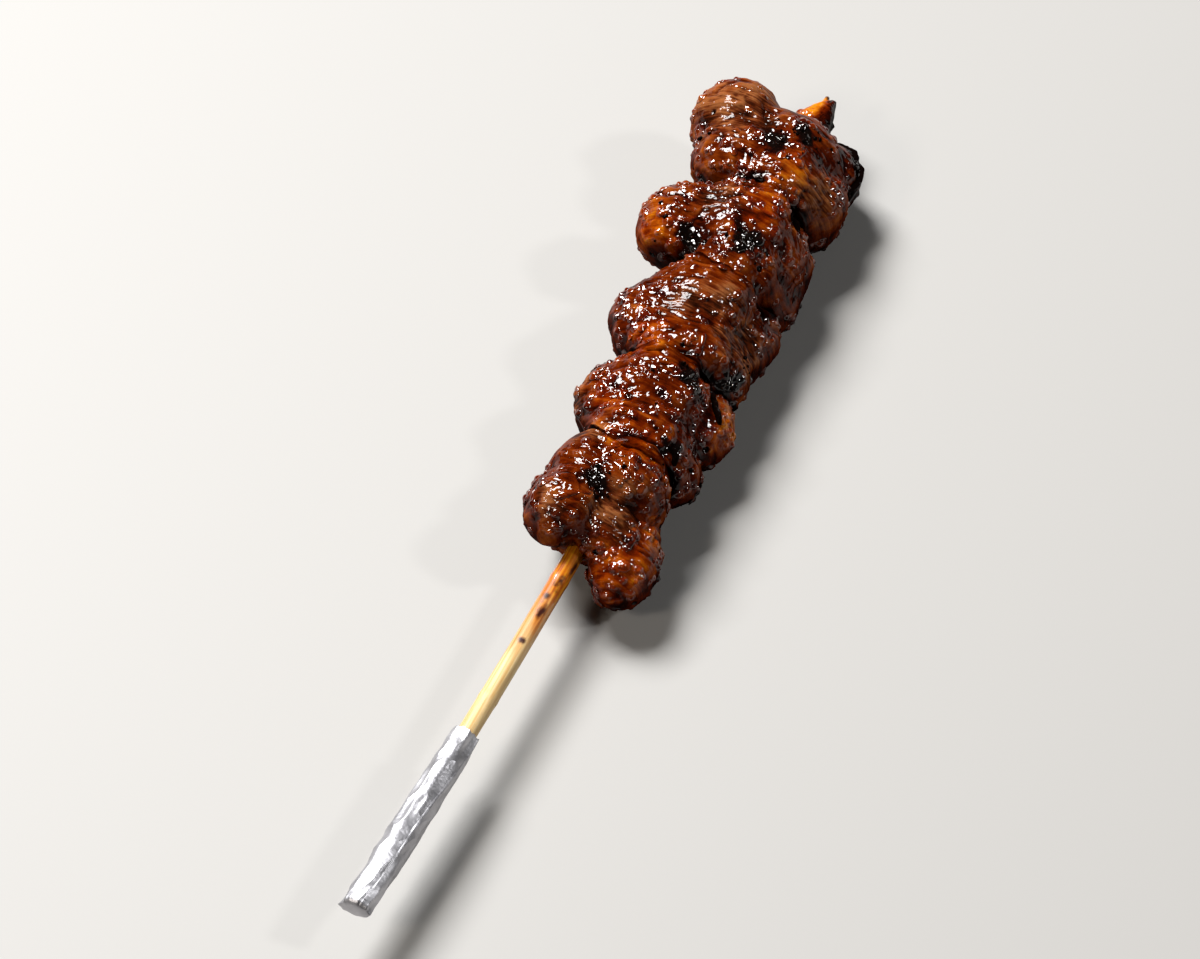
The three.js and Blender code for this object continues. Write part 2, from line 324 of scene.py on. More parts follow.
def foil_surface():
    """Rings round the stick's line. Their radius swells by sin(pi s^0.7), with s the share of the length.

    Long folds are ridges of noise in slanting coordinates, facets are cell noise, and the lap is a step that
    follows a line turning slowly round the sleeve. The last rows turn in at the rim, down to the stick.
    """
    row = (np.arange(FOIL_ROWS) + 0.5) / FOIL_ROWS
    turn = np.arange(FOIL_COLUMNS) * 2 * math.pi / FOIL_COLUMNS
    share, turn = np.meshgrid(row, turn, indexing="ij")
    out = np.clip(share / FOIL_RIM_SHARE, 0, 1)
    inward = np.clip((share - FOIL_RIM_SHARE) / 0.03, 0, 1)
    ragged = 0.35 * np.sin(3 * turn + 1) + 0.25 * np.sin(7 * turn) + 0.2 * np.sin(11 * turn + 2)
    x = out * FOIL_LENGTH - (0.3 + 0.5 * (1 + ragged)) * smoothstep(0.9, 1.0, out) - 0.25 * inward
    straight = FOIL_END_RADIUS + (FOIL_RIM_RADIUS - FOIL_END_RADIUS) * out
    base = straight + (FOIL_RADIUS - straight) * np.sin(math.pi * np.minimum(1, out ** 0.7))
    closing = np.sqrt(1 - np.clip(1 - x / FOIL_END_ROUND, 0, 1) ** 2)
    closing = closing * (1 + FOIL_FLARE * np.exp(-(x / 1.6) ** 2))
    pressed = 0.1 + 0.9 * np.sqrt(1 - np.clip(1 - x / FOIL_CRIMP, 0, 1) ** 2)
    flat = np.stack([x, np.cos(turn) * FOIL_NOISE_RADIUS, np.sin(turn) * FOIL_NOISE_RADIUS], -1)
    flat = flat.reshape(-1, 3)
    slant = flat * [0.34, 1, 1] + np.stack([0.3 * flat[:, 1], 0 * flat[:, 0], 0.12 * flat[:, 0]], -1)
    folds = 1 - 2.2 * np.abs(gradient_noise(slant, 2.6, 21))
    facets = creased(flat * [0.7, 1, 1] + 0.3 * gradient_noise(flat, 3, 23)[:, None], 2.1, 22)
    small = creased(flat, 0.9, 24)
    relief = FOIL_FOLD * (folds - 0.45) + FOIL_CRUMPLE * (facets - 0.4) + FOIL_SMALL * (small - 0.4)
    lap_line = 1.9 + 0.022 * x.ravel() + 0.12 * np.sin(x.ravel() / 5)
    past = (turn.ravel() - lap_line) % (2 * math.pi)
    lap = FOIL_LAP * (smoothstep(0, 0.05, past) - past / (2 * math.pi))
    radius = (base + (relief + lap).reshape(x.shape)) * closing
    radius = radius * (1 - inward) + (STICK_RADIUS + FOIL_RIM_GAP) * inward
    pinch = 1 - smoothstep(2.0, FOIL_PINCH_LENGTH, x)
    wide, thin = 1 + (FOIL_PINCH_WIDE - 1) * pinch, (1 + (FOIL_PINCH_THIN - 1) * pinch) * pressed
    ring = np.stack([x, axis_y(x) + radius * wide * np.cos(turn), radius * thin * np.sin(turn)], -1)
    ends = np.array([[0.02, axis_y(0), 0], [x[-1].mean(), axis_y(FOIL_LENGTH), 0]])
    return np.vstack([ends[:1], ring.reshape(-1, 3), ends[1:]])


def foil_material():
    """Aluminium foil, rolled bright: a mirror that the crumpling breaks up, dulled a little by handling.

    Wrinkles about 1 mm apart lie between the modelled creases.
    """
    m = blank_material("aluminium foil crumpled by hand")
    place = add_node(m, "ShaderNodeTexCoord").outputs["Object"]
    wrinkles = add_node(m, "ShaderNodeTexVoronoi", {"feature": "DISTANCE_TO_EDGE"}, Vector=place,
                        Scale=900.0)
    dull = add_node(m, "ShaderNodeTexNoise", Vector=place, Scale=260.0, Detail=3.0).outputs["Fac"]
    tone = add_node(m, "ShaderNodeValToRGB", _0=dull, stops=[(0.3, "#a5a4a8"), (0.7, "#c8c7cb")])
    rough = add_node(m, "ShaderNodeMapRange", Value=dull, To_Min=0.38, To_Max=0.54).outputs["Result"]
    relief = add_node(m, "ShaderNodeBump", Strength=0.2, Distance=0.0001,
                      Height=wrinkles.outputs["Distance"])
    shader = add_node(m, "ShaderNodeBsdfPrincipled", Base_Color=tone.outputs["Color"], Metallic=1.0,
                      Roughness=rough, Normal=relief.outputs["Normal"])
    return finish_material(m, shader.outputs[0])


foil = make_piece("foil", foil_surface(), closed_grid(FOIL_ROWS, FOIL_COLUMNS), foil_material())
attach(foil, "root")
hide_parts("foil_wrap")


# ------------------------------------------------------------------ slices of pork
# Strips of pork shoulder folded over and threaded so tight that they flatten against each other, brushed
# with sweet glaze and grilled over charcoal. The muscle fibres run round the stick; high spots are burnt.

REST_DEPTH = 11.8         # the floor is this far below the stick's axis
FLAT_ROUND = 0.6          # the flats that the meat rests on are rounded over this height
BLEND = 3.0
LOBE_RADIUS = 8.0
CONTACT_GAP = 0.08
JOIN_WANDER = 0.42        # how far a join strays, as a share of a lobe's radius
JOIN_LAP = 1.0            # how far one slice stands above the other at a join
UNDERSIDE_TURN, UNDERSIDE_OUT, UNDERSIDE_DEEP = 285.0, 5.8, 6.8
MEAT_ROWS = 230
MEAT_COLUMNS = 400
MEAT_RADIUS = 12.0
LUMP, LEDGE, BUNDLE = 0.75, 0.3, 0.45   # heights of the relief, by kind
FIBRE, BARE_FIBRE = 0.09, 0.12
BLISTER, SMALL_BLISTER, PIT = 0.14, 0.04, 0.5
LOWEST, HIGHEST = -1.8, 1.5  # how far the relief may go in and out
JOIN_FILL = 1.1           # how far sauce fills the valley at a join
WEDGE_START = 205.0       # the meat round the stick's tip is drawn to a point from here on
WEDGE_LENGTH = 10.6
WEDGE_LEAN = 2.5
WETNESS = 0.3             # of the meat, where that of the drops is 1
DRY_FLANK = 0.92          # how much of the glaze has run off the steep sides

# Each lobe of a slice: x, turn round the stick, push outwards, and its radii along, round and outwards.
SLICES = (
    dict(middle=103.5, heart=99.0, core=9.5, girth=8.2, underside=9.6, lobes=(
        (95.2, 48, 7.4, 7.8, 7.4, 6.6), (105.6, 52, 7.4, 6.0, 6.4, 5.6), (92.4, 196, 9.4, 9.0, 6.4, 6.2),
        (105.0, 140, 5.6, 7.4, 8.4, 6.6), (102.4, 350, 5.6, 8.6, 7.0, 6.4),
        (95.4, 160, 4.6, 6.2, 6.0, 5.2))),
    dict(middle=121.5, heart=121.5, core=15.0, girth=9.0, underside=12.0, lobes=(
        (123.8, 30, 7.2, 9.0, 7.8, 7.2), (115.6, 108, 6.6, 7.2, 8.4, 5.8), (127.4, 100, 6.4, 8.0, 8.4, 6.4),
        (115.4, 188, 8.0, 6.0, 6.4, 6.0), (127.6, 192, 9.2, 7.6, 6.6, 6.2))),
    dict(middle=144.2, heart=144.2, core=15.0, girth=9.4, underside=12.0, lobes=(
        (144.6, 24, 9.2, 9.0, 7.8, 7.2), (138.4, 100, 7.0, 7.4, 9.0, 6.0), (150.4, 92, 7.4, 8.0, 9.0, 6.2),
        (139.6, 176, 7.6, 6.6, 6.6, 6.0), (150.6, 194, 8.8, 9.0, 6.6, 6.0))),
    dict(middle=167.2, heart=167.2, core=15.0, girth=9.6, underside=12.0, lobes=(
        (167.0, 28, 13.0, 8.6, 8.0, 7.2), (171.0, 88, 8.6, 8.4, 9.8, 6.0), (161.8, 118, 6.6, 7.2, 9.0, 6.4),
        (170.6, 176, 8.2, 8.4, 7.6, 6.2), (164.4, 202, 8.8, 7.0, 6.6, 6.0))),
    dict(middle=190.5, heart=190.5, core=13.5, girth=9.6, underside=12.0, lobes=(
        (197.2, 30, 12.0, 9.2, 8.6, 8.2), (186.8, 40, 10.4, 7.6, 8.6, 6.6), (185.0, 118, 7.8, 8.0, 9.4, 6.2),
        (194.6, 110, 6.4, 7.6, 8.6, 6.8), (187.0, 186, 9.2, 8.0, 7.4, 6.2), (197.4, 196, 9.2, 7.0, 7.2, 6.2),
        (206.4, 180, 0.8, 8.8, 3.2, 5.4))),
)

# Places on the meat: x, turn round the stick, and radius.
BURNT = ((99.8, 90, 2.3), (128.9, 121, 2.4), (113.6, 138, 1.6), (161.4, 58, 1.6), (163.4, 108, 2.8),
         (189.6, 92, 2.8), (193.8, 112, 2.2), (199.0, 180, 3.4), (136.6, 163, 2.4), (114.0, 200, 2.2),
         (211.0, 210, 3.4), (150, 8, 3), (176, 18, 4), (118, 338, 4), (104, 215, 3), (142, 232, 4),
         (171, 240, 4), (192, 235, 4))
BARE = ((96.5, 118, 4.6), (91.0, 60, 2.4), (144.0, 152, 6.0), (193.0, 50, 6.5), (184.0, 148, 4.5),
        (201.0, 66, 4.0), (110.0, 62, 3.0), (149.0, 112, 3.4), (145.0, 83, 3.2), (171.0, 74, 3.6),
        (121, 18, 5), (168, 348, 5), (110, 300, 5))
AMBER = ((135.5, 68, 5.0), (172.0, 108, 4.6), (110.5, 106, 4.4), (88.0, 168, 5.0), (124.0, 160, 4.6),
         (118.5, 60, 4.5), (161.0, 38, 4.0), (184.0, 118, 4.0), (140.0, 330, 6), (186.0, 330, 6),
         (211.0, 60, 6.0))
# Painted light: amber places made brighter as if lit through the glaze, at x, turn round the stick, and
# radius.
PAINTED_GLOW = ((210.5, 110, 3.0), (129.0, 176, 3.0), (98.0, 172, 2.4), (184.0, 124, 2.4))


def placed_lobes(slice_):
    """Each lobe's centre, its outward and sideways directions round the stick, and its three radii."""
    rows = [
        (slice_["middle"], 0, 0, slice_["core"], slice_["girth"], slice_["girth"]),
        (slice_["middle"], UNDERSIDE_TURN, UNDERSIDE_OUT,
         slice_["underside"], slice_["girth"], UNDERSIDE_DEEP),
        *slice_["lobes"],
    ]
    lobes = []
    for x, turn, out, long, wide, deep in rows:
        angle = math.radians(turn)
        outward = np.array([0, math.cos(angle), math.sin(angle)])
        sideways = np.array([0, -math.sin(angle), math.cos(angle)])
        lobes.append((np.array([x, axis_y(x), 0]) + outward * out, outward, sideways, long, wide, deep))
    return lobes


def reach(lobes, points):
    """How far out each point is, as a share of the lobes' radii: 1 on the surface.

    Each lobe adds exp(-BLEND (q - 1)), where q is the squared share of its radii, and the sum is turned back
    into one share, so that lobes flow into each other.
    """
    total = np.zeros(points.shape[:-1])
    for centre, outward, sideways, long, wide, deep in lobes:
        offset = points - centre
        square = (offset[..., 0] / long) ** 2 + (offset @ sideways / wide) ** 2
        square += (offset @ outward / deep) ** 2
        total += np.exp(-BLEND * (square - 1))
    return np.sqrt(np.maximum(0, 1 - np.log(total + 1e-30) / BLEND))


def slice_base(index, all_lobes):
    """Smooth form of a slice: along each direction from its heart, the first place that isn't part of it.

    The first side of the grid is the angle from the handle direction, the second the turn round the stick.
    Where two slices touch, both give way to the same wandering face, which noise pushes to one side or the
    other. The second result is how far each corner is from that face, as a share of a lobe's radius, and the
    third is -1 or 1 for the side that the face is on.
    """
    polar = math.pi * np.arange(1, MEAT_ROWS + 1) / (MEAT_ROWS + 1)
    turn = np.arange(MEAT_COLUMNS) * 2 * math.pi / MEAT_COLUMNS
    polar, turn = np.meshgrid(polar, turn, indexing="ij")
    ring = np.stack([-np.cos(polar), np.sin(polar) * np.cos(turn), np.sin(polar) * np.sin(turn)], -1)
    direction = np.vstack([[[-1, 0, 0]], ring.reshape(-1, 3), [[1, 0, 0]]])
    heart_x = SLICES[index]["heart"]
    heart = np.array([heart_x, axis_y(heart_x), 0])
    beside = [(i - index, all_lobes[i]) for i in (index - 1, index + 1) if 0 <= i < len(all_lobes)]

    def to_join(at, own):
        wander = JOIN_WANDER * gradient_noise(at, 6.5, 40)
        clear = [reach(other, at) - CONTACT_GAP / LOBE_RADIUS - own - side * wander
                 for side, other in beside]
        return np.min(clear, axis=0), np.array([side for side, _ in beside])[np.argmin(clear, axis=0)]

    def outside(distance):
        at = heart + direction * distance[:, None]
        own = reach(all_lobes[index], at)
        return (own >= 1) | (to_join(at, own)[0] <= 0)

    near = np.zeros(len(direction))
    open_still = np.ones(len(direction), bool)
    for step in np.arange(1.0, 30.0):
        open_still &= ~outside(np.where(open_still, step, 1.0))
        near = np.where(open_still, step, near)
        if not open_still.any():
            break
    far = near + 1.0
    for _ in range(10):
        middle = (near + far) / 2
        out = outside(middle)
        near, far = np.where(out, near, middle), np.where(out, middle, far)
    surface = heart + direction * near[:, None]
    return surface, *to_join(surface, reach(all_lobes[index], surface))


def thin_flanks(piece):
    """Takes the wet coat down where the surface is steep or looks down, as the glaze has run off there."""
    normals = np.empty(3 * len(piece.data.vertices), np.float32)
    piece.data.vertex_normals.foreach_get("vector", normals)
    wet = np.empty(len(piece.data.vertices), np.float32)
    piece.data.attributes["wet"].data.foreach_get("value", wet)
    wet *= 1 - DRY_FLANK * smoothstep(0.65, 0.1, normals[2::3])
    piece.data.attributes["wet"].data.foreach_set("value", wet)


def grid_normals(points, rows, columns):
    """Outward unit normals of a closed tube, from the cross product of its two grid directions."""
    grid = points[1:-1].reshape(rows, columns, 3)
    padded = np.concatenate([np.broadcast_to(points[0], (1, columns, 3)), grid,
                             np.broadcast_to(points[-1], (1, columns, 3))])
    along = padded[2:] - padded[:-2]
    round_ = np.roll(grid, -1, 1) - np.roll(grid, 1, 1)
    normal = np.cross(round_, along).reshape(-1, 3)
    normal /= np.linalg.norm(normal, axis=1, keepdims=True) + 1e-12
    return np.vstack([[[-1, 0, 0]], normal, [[1, 0, 0]]])


def blurred(values, times, rows=MEAT_ROWS, columns=MEAT_COLUMNS):
    """Values on the grid, each replaced times over by the mean of itself and its four neighbours."""
    grid = values[1:-1].reshape(rows, columns)
    for _ in range(times):
        padded = np.pad(grid, ((1, 1), (0, 0)), "edge")
        grid = (grid * 2 + padded[2:] + padded[:-2] + np.roll(grid, 1, 1) + np.roll(grid, -1, 1)) / 6
    return np.concatenate([[grid[0].mean()], grid.ravel(), [grid[-1].mean()]])


def round_stick(points):
    """The angle of each point round the stick, and its distance from the stick's line."""
    across, up = points[:, 1] - axis_y(points[:, 0]), points[:, 2]
    return np.arctan2(up, across), np.hypot(across, up)


def straight_out(angle):
    """Unit directions straight out from the stick, at each angle round it."""
    return np.stack([0 * angle, np.cos(angle), np.sin(angle)], -1)


def spots(points, places, soft=0.45, seed=31):
    """1 inside the named places and 0 outside, with a ragged edge."""
    angle, out = round_stick(points)
    ragged = 0.7 * layered_noise(points, 3.0, seed)
    value = np.zeros(len(points))
    for x, turn, size in places:
        away = ((np.degrees(angle) - turn + 180) % 360 - 180) * np.pi / 180 * out
        far = np.hypot(points[:, 0] - x, away) / size
        value = np.maximum(value, 1 - smoothstep(1 - soft, 1 + soft, far + ragged))
    return value


def strands(points, angle, width, length, seed):
    """Gradient noise drawn out round the stick: bands width apart along it and length long round it."""
    stretch = MEAT_RADIUS / length
    drawn_out = np.stack([points[:, 0] / width, np.cos(angle) * stretch, np.sin(angle) * stretch], -1)
    return gradient_noise(drawn_out, 1.0, seed)


def domes(points, size, share, seed):
    """Round bumps, 1 at their tops: 1 - (d / share)^2, where d sizes is how far the nearest seed is."""
    nearest, _ = nearest_seed(points, size, seed)
    return np.maximum(0, 1 - (nearest / share) ** 2)


def pointed(points):
    """The last lobe, round the stick's tip, drawn down to a point that leans right as the tip does.

    Past WEDGE_START its half width, an ellipse's, becomes 4.9 (1 - t)^0.85 + 0.35, with t from 0 to 1 over
    WEDGE_LENGTH. Its height shrinks a little over half as much.
    """
    x = points[:, 0]
    _, out = round_stick(points)
    lobe_x, _, lobe_out, lobe_length, _, lobe_width = SLICES[-1]["lobes"][-1]
    t = np.clip((x - WEDGE_START) / WEDGE_LENGTH, 0, 1)
    ellipse = lobe_width * np.sqrt(np.clip(1 - ((x - lobe_x) / lobe_length) ** 2, 0.03, 1))
    here = smoothstep(WEDGE_START - 1.5, WEDGE_START + 1.5, x) * (1 - smoothstep(6.5, 8.5, out))
    narrow = 1 + (np.minimum(1, (4.9 * (1 - t) ** 0.85 + 0.35) / ellipse) - 1) * here
    middle = axis_y(x) - lobe_out
    across = middle - WEDGE_LEAN * t * here + (points[:, 1] - middle) * narrow
    return np.stack([x, across, points[:, 2] * (0.45 + 0.55 * narrow)], -1)


def grill(points, normals, clear, side):
    """Raises and lowers the smooth form into grilled meat, and returns the marks that its finish reads.

    Lumps, torn ledges, bundles of muscle, fibres, blisters and pits are each a noise at its own size, in
    millimetres. They stop where the slice is pressed against its neighbour, and near that join they push
    straight out from the stick, where sauce has also filled part of the valley. The deep mark darkens what
    lies lower than the blurred relief round it, and the pits, partly for glaze browned in the hollows and
    partly as painted shade. It also carries painted shade along the joins between slices, towards the floor
    and on the right-hand side of the tip, and a painted shadow on the left side of the first slices.
    """
    tip = smoothstep(WEDGE_START - 2, WEDGE_START + 1, points[:, 0])
    free = smoothstep(0.0, 0.06, clear)
    free = free * (1 - 0.5 * smoothstep(WEDGE_START - 2, WEDGE_START + 2, points[:, 0]))
    edge = 1 - smoothstep(0.03, 0.34, clear)
    angle, out = round_stick(points)
    push = normals * (1 - edge)[:, None] + straight_out(angle) * edge[:, None]
    push /= np.linalg.norm(push, axis=1, keepdims=True)
    warp = np.stack([gradient_noise(points, 5.0, s) for s in (41, 42, 43)], -1)
    bent = points + 1.5 * warp
    bent_angle, _ = round_stick(bent)
    burnt = spots(points, BURNT, 0.8)
    bare = spots(points, BARE, 0.6, 33) * (1 - burnt)
    # Painted light: brighter amber, as if lit through the glaze.
    painted_glow = spots(points, PAINTED_GLOW, 0.9, 35) * (1 - burnt)
    amber = np.maximum(spots(points, AMBER, 0.7, 34) * (1 - burnt), painted_glow)
    patch = gradient_noise(points, 8.0, 44)
    lump = gradient_noise(bent, 6.0, 45)
    lumps = LUMP * (np.sqrt(lump ** 2 + 0.02) - 0.3) + LUMP * gradient_noise(points, 9.0, 46)
    layer = gradient_noise(bent, 7.0, 47) * 2.4 + points[:, 0] * 0.05
    step_up = layer - np.floor(layer)
    ledges = (step_up - smoothstep(0.72, 1.0, step_up) - 0.38) * smoothstep(-0.1, 0.4, patch)
    bundle = strands(bent, bent_angle, 2.6, 8.0, 48)
    bundles = np.sqrt(bundle ** 2 + 0.006) - 0.3
    fibre = strands(bent, bent_angle, 0.85, 6.5, 49)
    pool = smoothstep(-0.25, 0.35, gradient_noise(points, 5.5, 50) - 0.5 * bare + 0.3 * amber)
    blister = domes(bent, 2.7, 0.42, 51) * pool
    small = domes(points, 1.6, 0.40, 52) * (0.35 + 0.65 * pool)
    pits = domes(points, 6.4, 0.12, 53)
    first, second = nearest_seed(points + 0.7 * warp, 1.9, 54)
    crackle = np.clip((second - first) / 0.5, 0, 1)
    rough = layered_noise(points, 2.0, 55)
    turned = np.degrees(angle)
    filled = smoothstep(40, 70, turned) * (1 - smoothstep(140, 170, turned)) + 0.25
    filled *= smoothstep(-0.35, 0.25, gradient_noise(points, 6.0, 57))
    height = (
        lumps + LEDGE * ledges + BUNDLE * bundles
        + (FIBRE + BARE_FIBRE * bare) * fibre * (1 - 0.5 * pool * (1 - bare))
        + BLISTER * blister + SMALL_BLISTER * small + 0.04 * gradient_noise(points, 1.5, 59)
        - PIT * pits
        + burnt * (0.12 * crackle + 0.25 * rough - 0.15)
        + 0.04 * rough * bare
    ) * free
    lap = JOIN_LAP * side * gradient_noise(points, 6.0, 58)
    height = np.clip(height, LOWEST, HIGHEST)
    moved = points + push * (height + (JOIN_FILL * filled + lap) * np.exp(-(clear / 0.3) ** 2))[:, None]
    bottom = FLAT_ROUND - REST_DEPTH
    below = np.maximum(bottom - moved[:, 2], 0)
    moved[:, 2] = np.maximum(moved[:, 2], bottom) - FLAT_ROUND * np.tanh(below / FLAT_ROUND)
    moved = pointed(moved)
    near, wide = blurred(height, 12), blurred(height, 90)
    broad = blurred(out, 420)
    # Painted shade on the right-hand side of the tip.
    tip_painted_shade = smoothstep(0.4, 0.9, 0.25 * patch - np.cos(angle))
    # The deep mark: what lies lower than the blurred relief is darker, partly glaze browned in the hollows
    # and partly painted shade.
    deep = 1.5 * (near - height) + 0.9 * (wide - near) + 0.22 * (broad - out) * (1 - tip)
    deep = deep + (0.62 * tip_painted_shade - 0.3) * tip
    # The lower left side gets less of this darkening.
    deep = deep - 0.45 * smoothstep(0.1, 0.8, np.cos(angle + 0.7)) * smoothstep(4.0, -2.0, points[:, 2])
    # Painted shade along the joins between slices, less where sauce fills them.
    rim = (1 - smoothstep(0.0, 0.3, clear)) * (0.85 - 0.35 * np.clip(filled, 0, 1))
    # Painted shade towards the floor: darker lower down, and bare and amber places fade there.
    low = smoothstep(3.0, -9.0, points[:, 2] + 2.5 * patch)
    # Painted shadow on the left side of the first slices.
    painted_flank_shadow = (1 - np.sin(angle)) ** 2 * smoothstep(176, 150, points[:, 0])
    painted_flank_shadow = np.minimum(painted_flank_shadow * (turned < 90) * smoothstep(-45, 5, turned), 1)
    deep = 0.5 + 0.62 * deep + 0.5 * pits + 0.5 * rim + 0.32 * low + 0.35 * painted_flank_shadow
    return moved, {
        "burnt": burnt,
        "bare": bare * (1 - 0.8 * low),
        "amber": amber * (1 - 0.7 * low),
        "painted_glow": painted_glow,
        "deep": np.clip(deep, 0, 1),
        "pool": pool * free,
        "shade": 0.5 + 0.5 * np.clip(layered_noise(bent, 4.0, 56), -1, 1),
        "film": 0 * out + 1,
        "wet": WETNESS * (1 - 0.4 * bare + 1.4 * burnt),
    }


def pork_material():
    """Pork shoulder grilled under a sweet soy glaze, which is a wet, clear coat over all of it.

    The meat is amber brown with tan fibres 0.6 mm apart on its high spots. The deep mark darkens it,
    almost to black, partly for sugar browned in the hollows and partly as painted shade. It is charcoal
    where the flames reached, and painted light brightens the places that seem lit through the glaze.
    """
    m = blank_material("grilled pork under sweet glaze")

    def sum_of(*terms):
        """Each value times its weight, all added up."""
        total = 0.0
        for value, weight in terms:
            step = add_node(m, "ShaderNodeMath", {"operation": "MULTIPLY_ADD"},
                            _0=value, _1=weight, _2=total)
            total = step.outputs[0]
        return total

    marks = {key: add_node(m, "ShaderNodeAttribute", {"attribute_name": key}).outputs["Fac"]
             for key in ("burnt", "bare", "amber", "painted_glow", "deep", "pool", "shade", "film", "wet")}
    deep, burnt, bare = marks["deep"], marks["burnt"], marks["bare"]
    place = add_node(m, "ShaderNodeTexCoord").outputs["Object"]
    strand = add_node(m, "ShaderNodeAttribute", {"attribute_name": "strand"}).outputs["Vector"]
    fibre_place = add_node(m, "ShaderNodeMapping", Vector=strand, Scale=(2.4, 3.6, 3.6)).outputs["Vector"]
    fibres = add_node(m, "ShaderNodeTexNoise", Vector=fibre_place, Scale=1.0, Detail=3.0).outputs["Fac"]
    mottle = add_node(m, "ShaderNodeTexNoise", Vector=place, Scale=520.0, Detail=6.0, Roughness=0.65)
    mottle = mottle.outputs["Fac"]
    grit = add_node(m, "ShaderNodeTexNoise", Vector=place, Scale=2200.0, Detail=3.0).outputs["Fac"]
    threads = add_node(m, "ShaderNodeMapRange", Value=fibres, From_Min=0.36, From_Max=0.64).outputs["Result"]
    threads = add_node(m, "ShaderNodeMath", {"operation": "MULTIPLY"}, _0=threads,
                       _1=sum_of((bare, 0.2), (1.0, 0.16))).outputs[0]
    # The deep mark darkens the tone, for browned glaze and as painted shade; painted light at the
    # lit-through places brightens it.
    tone = sum_of((marks["shade"], 0.42), (mottle, 0.28), (threads, 0.85), (grit, 0.12), (deep, -1.1),
                  (burnt, -0.3), (bare, -0.06), (marks["painted_glow"], 0.22), (1.0, 0.53))
    lean = add_node(m, "ShaderNodeValToRGB", _0=tone, stops=[
        (0.10, "#050000"), (0.28, "#200400"), (0.46, "#481300"), (0.64, "#642805"), (0.84, "#844413")])
    thick = add_node(m, "ShaderNodeValToRGB", _0=tone, stops=[
        (0.10, "#0a0100"), (0.28, "#2f0800"), (0.46, "#5c1900"), (0.66, "#883c04"), (0.95, "#c47a0c")])
    plain = add_node(m, "ShaderNodeValToRGB", _0=tone, stops=[
        (0.08, "#100401"), (0.28, "#2c1005"), (0.46, "#4d220e"), (0.70, "#7e4c2a")])
    charred = add_node(m, "ShaderNodeValToRGB", _0=sum_of((burnt, 0.8), (mottle, 0.7), (deep, 0.2)),
                       stops=[(0.62, "#000000"), (1.0, "#ffffff")]).outputs["Color"]
    body = lean.outputs["Color"]
    for share, over in ((marks["amber"], thick.outputs["Color"]), (bare, plain.outputs["Color"]),
                        (charred, "#0a0403")):
        body = add_node(m, "ShaderNodeMix", {"data_type": "RGBA"}, _0=share, _6=body, _7=over).outputs[2]
    relief = add_node(m, "ShaderNodeBump", Strength=0.9, Distance=0.00022, Height=fibres).outputs["Normal"]
    relief = add_node(m, "ShaderNodeBump", Strength=0.8, Distance=0.00025, Height=mottle, Normal=relief)
    ripple = add_node(m, "ShaderNodeTexNoise", Vector=place, Scale=860.0, Detail=1.5).outputs["Fac"]
    beads = add_node(m, "ShaderNodeTexVoronoi", Vector=place, Scale=540.0)
    square = add_node(m, "ShaderNodeMath", {"operation": "POWER"}, _0=beads.outputs["Distance"], _1=2.0)
    bead = add_node(m, "ShaderNodeMapRange", Value=square.outputs[0], From_Max=0.16, To_Min=1.0, To_Max=0.0)
    chance = add_node(m, "ShaderNodeSeparateColor", Color=beads.outputs["Color"]).outputs["Red"]
    chosen = add_node(m, "ShaderNodeMapRange", Value=chance, From_Min=0.2, From_Max=0.7).outputs["Result"]
    bead = add_node(m, "ShaderNodeMath", {"operation": "MULTIPLY"}, _0=bead.outputs["Result"], _1=chosen)
    swell = add_node(m, "ShaderNodeMath", {"operation": "MULTIPLY"},
                     _0=sum_of((ripple, 0.9), (bead.outputs[0], 1.1)), _1=marks["film"]).outputs[0]
    film = add_node(m, "ShaderNodeBump", Strength=1.0, Distance=0.0002, Height=swell).outputs["Normal"]
    rough = add_node(m, "ShaderNodeMapRange", Value=marks["pool"], To_Min=0.55, To_Max=0.4).outputs["Result"]
    shader = add_node(m, "ShaderNodeBsdfPrincipled",
                      Base_Color=body, Roughness=rough, Normal=relief.outputs[0], Specular_IOR_Level=0.0,
                      Subsurface_Weight=0.12, Subsurface_Radius=(1.0, 0.35, 0.1), Subsurface_Scale=0.001,
                      Coat_Weight=marks["wet"], Coat_Roughness=0.07, Coat_IOR=1.9, Coat_Tint="#ffd9a6",
                      Coat_Normal=film)
    return finish_material(m, shader.outputs[0])


pork = pork_material()
all_lobes = [placed_lobes(s) for s in SLICES]
meat, touching = [], []
for index in range(len(SLICES)):
    smooth, clear, side = slice_base(index, all_lobes)
    normals = grid_normals(smooth, MEAT_ROWS, MEAT_COLUMNS)
    points, marks = grill(smooth, normals, clear, side)
    angle, _ = round_stick(points)
    marks["strand"] = np.stack([points[:, 0], np.cos(angle), np.sin(angle)], -1)
    piece = make_piece(f"pork_slice_{index + 1}", points, closed_grid(MEAT_ROWS, MEAT_COLUMNS), pork, marks)
    thin_flanks(piece)
    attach(piece, "root")
    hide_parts(f"pork_{index + 1}")
    meat.append((points, grid_normals(points, MEAT_ROWS, MEAT_COLUMNS), marks))
    touching.append((clear < 0.03) & (side > 0))


# ------------------------------------------------------------------ drops and runs of glaze
# Sugar glaze boils over the coals and sets in clear drops, 1 to 2 mm across with a soft foot, in runs along
# the ridges, and in seams between the slices. All are part of one coat, and show the colours below them.

FLOOR_GAP = 0.1           # the joined pieces stay this far above the floor
DROP_RINGS = 7
DROP_COLUMNS = 8
DROP_SPACING = 1.6
DROP_RADIUS, DROP_RADIUS_SPREAD = 0.58, 0.45
DROP_HEIGHT, DROP_HEIGHT_SPREAD = 0.52, 0.16   # as shares of the radius
LOWEST_DROP = 2.5         # above the floor
LAST_DROP_X = 211
SEAM_SKIP = 3             # a seam has a ring at each third column of the meat
SEAM_SIDES = 14
SEAM_HALF_WIDTH = 0.95
SEAM_WETNESS = 0.3        # so that seams low on the flanks don't mirror the floor
RUN_STEPS = 34
RUN_SIDES = 10

